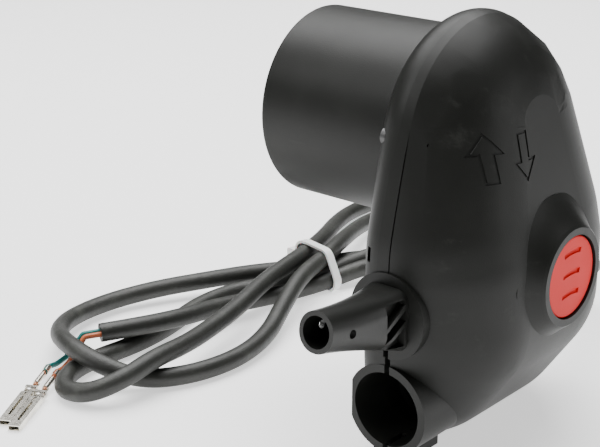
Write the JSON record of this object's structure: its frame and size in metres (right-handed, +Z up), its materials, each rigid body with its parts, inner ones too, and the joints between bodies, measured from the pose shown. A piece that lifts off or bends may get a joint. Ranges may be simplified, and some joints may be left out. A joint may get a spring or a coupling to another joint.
{
  "type": "trailer tongue jack drive head",
  "caption": "Electric drive head for a trailer tongue jack: black housing with motor cover, push button, clamp socket, reaction-bar socket and coiled two-wire lead.",
  "frame": {"origin": "on the axis of the clamp socket, inside its wall, 17.5 mm behind its mouth", "axes": "+X points to the push button, +Z up, and the clamp socket opens towards -Y"},
  "size_m": [0.2605, 0.405, 0.1834],
  "materials": {
    "housing_plastic": "fine moulded texture, satin, faint scuffs",
    "nose_plastic": "satin moulded",
    "button_red": "satin moulded red",
    "natural_nylon": "natural nylon",
    "zinc_steel": "bright zinc plate",
    "plate_steel": "stamped, passivated",
    "shaft_steel": "ground",
    "gear_steel": "hobbed, oiled",
    "gear_bronze": "turned bronze",
    "bearing_steel": "polished races",
    "can_enamel": "satin black enamel",
    "cast_zinc": "as cast",
    "ferrite": "ground ferrite",
    "lamination_steel": "stacked sheet",
    "copper": "bare or enamelled copper",
    "carbon": "pressed carbon",
    "spring_steel": "drawn wire",
    "switch_black": "moulded phenolic",
    "terminal_tin": "bright tin plate",
    "lead_rubber": "extruded black rubber",
    "tie_nylon": "natural white nylon",
    "wire_green_pvc": "extruded",
    "wire_orange_pvc": "extruded"
  },
  "bodies": {
    "head": {"front_shell": "housing_plastic", "rear_shell": "housing_plastic", "motor_cover": "housing_plastic", "reaction_bar_socket": "nose_plastic", "shell_screws": "zinc_steel", "frame_screws": "zinc_steel", "frame_nuts": "zinc_steel", "motor_screws": "zinc_steel", "carrier_screws": "zinc_steel", "gear_plate_rear": "plate_steel", "gear_plate_front": "plate_steel", "frame_pillars": "plate_steel", "idler_axle": "shaft_steel", "idler_ring": "spring_steel", "shaft_bushes": "gear_bronze", "motor_rear_bush": "gear_bronze", "output_bearings": "bearing_steel", "motor_front_bearing": "bearing_steel", "motor_can": "can_enamel", "motor_end_bell": "cast_zinc", "motor_magnets": "ferrite", "wire_cores": "copper", "brushes": "carbon", "brush_card": "switch_black", "button_spring": "spring_steel", "switch_carrier": "natural_nylon", "switch_body": "switch_black", "switch_terminals": "terminal_tin", "cable_gland": "lead_rubber", "cable": "lead_rubber", "cable_tie": "tie_nylon", "wire_green": "wire_green_pvc", "wire_orange": "wire_orange_pvc", "lead_terminals": "terminal_tin"},
    "rotor": {"motor_shaft": "shaft_steel", "armature_core": "lamination_steel", "windings": "copper", "commutator": "copper", "motor_pinion": "gear_steel"},
    "idler": {"idler_gear": "gear_steel"},
    "worm": {"worm_shaft": "shaft_steel", "worm_shaft_gear": "gear_steel", "worm_shaft_ring": "spring_steel"},
    "output": {"output_shaft": "shaft_steel", "output_hub": "shaft_steel", "hub_pin": "shaft_steel", "worm_wheel": "gear_bronze", "wheel_key": "shaft_steel", "output_spacer": "shaft_steel"},
    "button": {"run_button": "button_red"},
    "plunger": {"switch_plunger": "natural_nylon"}
  },
  "joints": [
    {"name": "motor_spin", "type": "hinge", "parent": "head", "child": "rotor", "pos_m": [0, 0.044, 0.1056], "axis": [1, 0, 0], "continuous": true},
    {"name": "idler_spin", "type": "hinge", "parent": "head", "child": "idler", "pos_m": [0, 0.044, 0.06685], "axis": [1, 0, 0], "continuous": true},
    {"name": "worm_spin", "type": "hinge", "parent": "head", "child": "worm", "pos_m": [0, 0.044, 0.01935], "axis": [1, 0, 0], "continuous": true},
    {"name": "output_spin", "type": "hinge", "parent": "head", "child": "output", "pos_m": [0, 0.044, 0], "axis": [0, 1, 0], "continuous": true},
    {"name": "button_press", "type": "slide", "parent": "head", "child": "button", "axis": [-1, 0, 0], "range_m": [0, 0.0018], "stiffness_N_per_m": 600, "springref_m": -0.003, "deforming": ["button_spring"]},
    {"name": "plunger_press", "type": "slide", "parent": "head", "child": "plunger", "axis": [-1, 0, 0], "range_m": [0, 0.0018]}
  ],
  "couplings": [
    {"joint": "idler_spin", "follows": "motor_spin", "ratio": -0.24},
    {"joint": "worm_spin", "follows": "motor_spin", "ratio": 0.46154},
    {"joint": "output_spin", "follows": "motor_spin", "ratio": -0.023077},
    {"joint": "plunger_press", "follows": "button_press", "ratio": 1}
  ]
}
